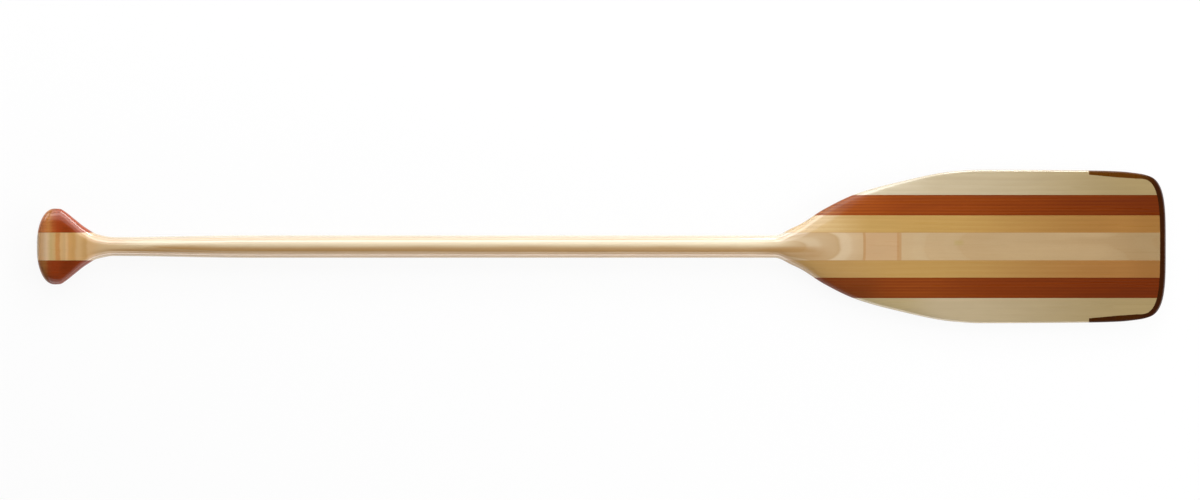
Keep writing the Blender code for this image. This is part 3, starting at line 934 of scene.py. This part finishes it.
# Inner strips: two honey-coloured boards, glued edge to edge to the stick where the blade widens and carved
# with it. Their ends key into the guard. The left one is lightest at its start, painted light on the throat's
# slope that faces the lamps, and the one on the right is painted darker, most of all at its start, painted
# shade of the throat's side away from the lamps. Both darken towards the tip, partly the wood's own tone and
# partly painted shade.
INNER_STRIP_WIDTH = 0.02325
INNER_FACE = STICK_SIDE + INNER_STRIP_WIDTH
HONEY_WOOD = {
    "early": (
        (1.05, (0.640, 0.455, 0.225)),
        (1.13, (0.480, 0.305, 0.100)),
        (1.20, (0.465, 0.285, 0.086)),
        (1.46, (0.340, 0.165, 0.043)),
        (1.50, (0.305, 0.145, 0.036)),
    ),
    "late": ((1.08, (0.400, 0.220, 0.060)), (1.46, (0.265, 0.115, 0.026))),
    "ring_spacing": 0.0060,
    "ring_contrast": 0.30,
    "wander": 0.006,
    "wander_length": 0.5,
    "streak_width": 0.005,
    "streak_length": 0.25,
    "streak_contrast": 0.25,
    "pore_contrast": 0.30,
    "cloud": 0.04,
    "gloss": 0.8,
    "glue": (0.30, 0.15, 0.05),
    "glue_shows": 0.5,
}
SHADED_HONEY_TONES = (
    (1.05, (0.420, 0.253, 0.092)),
    (1.20, (0.426, 0.258, 0.080)),
    (1.46, (0.330, 0.150, 0.042)),
    (1.50, (0.280, 0.123, 0.033)),
)

inner_joints = (("across", STICK_SIDE, STRIP_GLUE_HALF_LINE), ("across", INNER_FACE, STRIP_GLUE_HALF_LINE))
for side, name in SIDES:
    inner_early = HONEY_WOOD["early"] if side > 0 else SHADED_HONEY_TONES
    inner_wood = dict(HONEY_WOOD, early=inner_early, pith=(side * 0.25, -0.1))
    inner_material = varnished_wood(f"inner_honey_{name}", inner_wood, inner_joints)
    inner = board(
        f"carved_inner_strip_{name}", wood_form, inner_material, along=(NECK_AT, None),
        across=sorted((side * STICK_SIDE, side * INNER_FACE)))
    fit(inner, f"inner_strip_{name}")


# Middle strips: two red-brown cedar boards glued to the inner strips. They are quarter-sawn, so fine dark
# lines run lengthwise. The one on the right is painted darker, painted shade of the blade's side away from the
# lamps. Soft cedar drinks varnish, which leaves it duller.
MIDDLE_STRIP_WIDTH = 0.0275
MIDDLE_FACE = INNER_FACE + MIDDLE_STRIP_WIDTH
SHADED_CEDAR_TONES = (
    (1.11, (0.175, 0.046, 0.010)),
    (1.17, (0.262, 0.062, 0.009)),
    (1.30, (0.190, 0.036, 0.005)),
    (1.50, (0.151, 0.025, 0.003)),
)

middle_joints = (("across", INNER_FACE, STRIP_GLUE_HALF_LINE), ("across", MIDDLE_FACE, STRIP_GLUE_HALF_LINE))
for side, name in SIDES:
    middle_early = RED_CEDAR["early"] if side > 0 else SHADED_CEDAR_TONES
    middle_painted_shade = 1.0 if side > 0 else 0.86
    middle_wood = dict(
        RED_CEDAR,
        early=middle_early,
        late=dimmed(RED_CEDAR["late"], middle_painted_shade),
        pith=(side * 0.5, 0.01),
        gloss=0.15,
    )
    middle_material = varnished_wood(f"middle_cedar_{name}", middle_wood, middle_joints)
    middle = board(
        f"carved_middle_strip_{name}", wood_form, middle_material, along=(NECK_AT, None),
        across=sorted((side * INNER_FACE, side * MIDDLE_FACE)))
    fit(middle, f"middle_strip_{name}")


# Outer strips: two pale, faintly grey boards that make the long edges of the blade. They are glued on outside
# the cedar and rounded over with the rest of the blade.
OUTER_WOOD = {
    "late": ((1.15, (0.430, 0.335, 0.200)), (1.50, (0.290, 0.208, 0.092))),
    "ring_spacing": 0.0075,
    "ring_contrast": 0.25,
    "wander": 0.012,
    "wander_length": 0.3,
    "streak_width": 0.008,
    "streak_length": 0.12,
    "streak_contrast": 0.22,
    "pore_contrast": 0.2,
    "cloud": 0.05,
    "gloss": 1.0,
    "glue": (0.30, 0.20, 0.09),
    "glue_shows": 0.5,
}
OUTER_TONE_AT_TIP = (0.337, 0.248, 0.114)

outer_joints = (("across", MIDDLE_FACE, STRIP_GLUE_HALF_LINE),)
for side, name in SIDES:
    # The left strip starts paler, painted light on the throat's lit side, and the right one starts darker,
    # painted shade of the side away from the lamps. Both darken towards the tip, partly the wood's own tone
    # and partly painted shade.
    outer_start = (0.580, 0.500, 0.355) if side > 0 else (0.442, 0.340, 0.170)
    outer_middle = (0.500, 0.415, 0.275) if side > 0 else (0.465, 0.370, 0.228)
    outer_early = ((1.16, outer_start), (1.22, outer_middle), (1.50, OUTER_TONE_AT_TIP))
    outer_wood = dict(OUTER_WOOD, early=outer_early, pith=(side * 0.4, -0.15))
    outer_material = varnished_wood(f"outer_pale_{name}", outer_wood, outer_joints)
    outer = board(
        f"carved_outer_strip_{name}", wood_form, outer_material, along=(NECK_AT, None),
        across=(MIDDLE_FACE, None) if side > 0 else (None, -MIDDLE_FACE))
    fit(outer, f"outer_strip_{name}")


# Tip guard: dark brown epoxy resin, cast round the end of the blade and over the strips' tongue, then sanded
# and varnished with the wood. It lets a little light through, so its thin sides are lighter than its end. The
# right side is painted deeper, painted shade of the side away from the lamps.
RESIN_DEEPENS_FROM = 1.486
RESIN_DEEPEST_AT = 1.512
RIGHT_SIDE_PAINTED_SHADE = 0.9
THIN_RESIN = (0.085, 0.0255, 0.001, 1)
DEEP_RESIN = (0.031, 0.007, 0.0008, 1)
RESIN_CLOUD = 0.7
RESIN_SMOOTHEST = 0.20
RESIN_ROUGHEST = 0.36
RESIN_RELIEF = 0.0001


def guard_resin():
    """Glossy dark resin that lightens where it is thin, with painted shade deepening its right side."""
    material, tree, shader = new_material("guard_epoxy")
    place = place_node(tree, "ShaderNodeTexCoord").outputs["Object"]
    separate = place_node(tree, "ShaderNodeSeparateXYZ", {0: place}).outputs
    from_palm_end = maths(tree, "ADD", separate["X"], LENGTH / 2)
    towards_tip = ranged(
        tree, from_palm_end, RESIN_DEEPENS_FROM, RESIN_DEEPEST_AT, kind="SMOOTHSTEP")
    painted_shade_right = ranged(tree, separate["Y"], 0.0, -BLADE_WIDTH / 2, high=RIGHT_SIDE_PAINTED_SHADE)
    depth_and_shade = maths(tree, "ADD", towards_tip, painted_shade_right)
    cloud = noise(tree, place, (60.0, 60.0, 60.0), detail=3.0, roughness=0.6)
    uneven = maths(tree, "MULTIPLY_ADD", maths(tree, "SUBTRACT", cloud, 0.5), RESIN_CLOUD, depth_and_shade)
    share = maths(tree, "MINIMUM", maths(tree, "MAXIMUM", uneven, 0.0), 1.0)
    tree.links.new(mixed(tree, share, THIN_RESIN, DEEP_RESIN), shader.inputs["Base Color"])
    roughness = ranged(tree, cloud, 0.0, 1.0, low=RESIN_SMOOTHEST, high=RESIN_ROUGHEST)
    tree.links.new(roughness, shader.inputs["Roughness"])
    ripple = noise(tree, place, (400.0, 400.0, 400.0), detail=2.0)
    bump = place_node(tree, "ShaderNodeBump", {"Height": ripple, "Strength": 0.2, "Distance": RESIN_RELIEF})
    tree.links.new(bump.outputs["Normal"], shader.inputs["Normal"])
    shader.inputs["Metallic"].default_value = 0.0
    shader.inputs["Specular IOR Level"].default_value = 0.15
    shader.inputs["Coat Weight"].default_value = 0.12
    shader.inputs["Coat Roughness"].default_value = 0.12
    return material


guard = board("cast_tip_guard", guard_form, guard_resin())
fit(guard, "tip_guard")


# Floor: a pale seamless sweep of matt paper, which the paddle lies on. The camera and reflections see it near
# white, and it keeps the paddle's soft shadow.
FLOOR_SIZE = 8.0
FLOOR_CELLS = 8
FLOOR_GREY = 0.8
FLOOR_WHITE = 0.92


def floor_material():
    """Matt pale paper that mostly shows as plain white to the camera, with the paddle's shadow left on it."""
    material, tree, shader = new_material("studio_floor")
    shader.inputs["Base Color"].default_value = (FLOOR_GREY, FLOOR_GREY, FLOOR_GREY, 1)
    shader.inputs["Roughness"].default_value = 0.9
    shader.inputs["Specular IOR Level"].default_value = 0.0
    white = place_node(tree, "ShaderNodeEmission", {"Color": (1, 1, 1, 1), "Strength": 1.0})
    rays = place_node(tree, "ShaderNodeLightPath").outputs
    seen = maths(tree, "MAXIMUM", rays["Is Camera Ray"], rays["Is Glossy Ray"])
    seen = maths(tree, "MAXIMUM", seen, rays["Is Transmission Ray"])
    share = maths(tree, "MULTIPLY", seen, FLOOR_WHITE)
    mix = place_node(
        tree, "ShaderNodeMixShader", {0: share, 1: shader.outputs[0], 2: white.outputs[0]})
    tree.links.new(mix.outputs[0], tree.nodes["Material Output"].inputs["Surface"])
    return material


bm = bmesh.new()
bmesh.ops.create_grid(bm, x_segments=FLOOR_CELLS, y_segments=FLOOR_CELLS, size=FLOOR_SIZE / 2)
floor_mesh = bpy.data.meshes.new("studio_floor")
bm.to_mesh(floor_mesh)
bm.free()
floor_mesh.materials.append(floor_material())
floor = shown("studio_floor", floor_mesh)


# Lamps: long soft boxes round the paddle. Five on its left, from low down to nearly overhead, light the
# bright side of the shaft, and two low ones on its right fill the dark side. One stands beyond the tip and a
# small one beyond the left of the palm end, for the slopes there.
LEFT, RIGHT, TIP_END = 90, -90, 0
NEAR = 1.6


def soft_box(name, tilt, bearing, distance, middle_x, long_side, spread, radiance):
    """An area lamp that faces the paddle's axis.

    Tilt is its angle from straight up, bearing the side that it stands on, both in degrees. Spread is the
    angle that its short side takes up, and its power follows from its radiance.
    """
    lamp = bpy.data.lights.new(name, "AREA")
    lamp.shape = "RECTANGLE"
    lamp.size = long_side
    lamp.size_y = 2 * distance * math.tan(math.radians(spread) / 2)
    lamp.energy = radiance * math.pi * lamp.size * lamp.size_y
    made = shown(name, lamp)
    target = Vector((middle_x, 0, AXIS_HEIGHT))
    side = Vector((math.cos(math.radians(bearing)), math.sin(math.radians(bearing)), 0))
    away = side * math.sin(math.radians(tilt)) + Vector((0, 0, math.cos(math.radians(tilt))))
    made.location = target + away * distance
    made.rotation_euler = (math.radians(tilt), 0, math.radians(bearing + 90))
    made.visible_camera = False


soft_box(
    "upper_key_box", tilt=26, bearing=LEFT, distance=NEAR,
    middle_x=-0.30, long_side=1.28, spread=18, radiance=1.2)
soft_box(
    "high_key_box", tilt=44, bearing=LEFT, distance=NEAR,
    middle_x=-0.30, long_side=1.28, spread=18, radiance=2.4)
soft_box(
    "middle_key_box", tilt=50, bearing=LEFT, distance=NEAR,
    middle_x=0.02, long_side=1.94, spread=26, radiance=1.5)
soft_box(
    "low_key_box", tilt=75, bearing=LEFT, distance=NEAR,
    middle_x=0.02, long_side=1.94, spread=26, radiance=2.8)
soft_box(
    "tip_side_key_box", tilt=69, bearing=68, distance=3.5,
    middle_x=-0.10, long_side=1.6, spread=12, radiance=12.0)
soft_box(
    "low_fill_box", tilt=82, bearing=RIGHT, distance=NEAR,
    middle_x=-0.10, long_side=2.8, spread=14, radiance=3.3)
soft_box(
    "middle_fill_box", tilt=62, bearing=RIGHT, distance=NEAR,
    middle_x=-0.10, long_side=2.8, spread=30, radiance=0.8)
soft_box(
    "tip_box", tilt=70, bearing=TIP_END, distance=3.6,
    middle_x=-0.10, long_side=4.0, spread=44, radiance=5.4)
soft_box(
    "palm_box", tilt=62, bearing=128, distance=1.2,
    middle_x=-0.75, long_side=0.7, spread=28, radiance=3.2)


# World: a pale studio, dim overhead where the camera hangs and a little brighter towards its walls. The
# camera itself sees plain white in it.
WALL_GLOW = 0.12
CEILING_GLOW = 0.02
# Heights on a dome of radius 1, between which the glow falls from that of the walls to that of the ceiling.
WALL_ENDS_AT = 0.20
CEILING_STARTS_AT = 0.97


def studio_world():
    """White to the camera, and graded from dim overhead to brighter at the horizon for light and gloss."""
    world = bpy.data.worlds.new("studio")
    world.use_nodes = True
    tree = world.node_tree
    background = tree.nodes["Background"]
    direction = place_node(tree, "ShaderNodeTexCoord").outputs["Generated"]
    up = place_node(tree, "ShaderNodeSeparateXYZ", {0: direction}).outputs["Z"]
    glow = ranged(
        tree, up, WALL_ENDS_AT, CEILING_STARTS_AT, low=WALL_GLOW, high=CEILING_GLOW, kind="SMOOTHSTEP")
    rays = place_node(tree, "ShaderNodeLightPath").outputs
    strength = place_node(
        tree, "ShaderNodeMix", {0: rays["Is Camera Ray"], 2: glow, 3: 1.0}, data_type="FLOAT").outputs[0]
    tree.links.new(strength, background.inputs["Strength"])
    background.inputs["Color"].default_value = (1, 1, 1, 1)
    bpy.context.scene.world = world


studio_world()


# Camera: straight above the paddle, its frame in line with the paddle's axis, with a long lens. The frame is
# a little longer than the paddle, which lies a few millimetres off its middle.
LENS_MM = 100.0
SENSOR_MM = 36.0
FRAME_WIDTH = 1.6202
CAMERA_X = -0.0018
CAMERA_Y = -0.0047

camera_data = bpy.data.cameras.new("overhead_camera")
camera_data.lens = LENS_MM
camera_data.sensor_width = SENSOR_MM
camera = shown("overhead_camera", camera_data)
camera.location = (CAMERA_X, CAMERA_Y, AXIS_HEIGHT + FRAME_WIDTH * LENS_MM / SENSOR_MM)
bpy.context.scene.camera = camera
bpy.context.scene.view_settings.view_transform = "Standard"
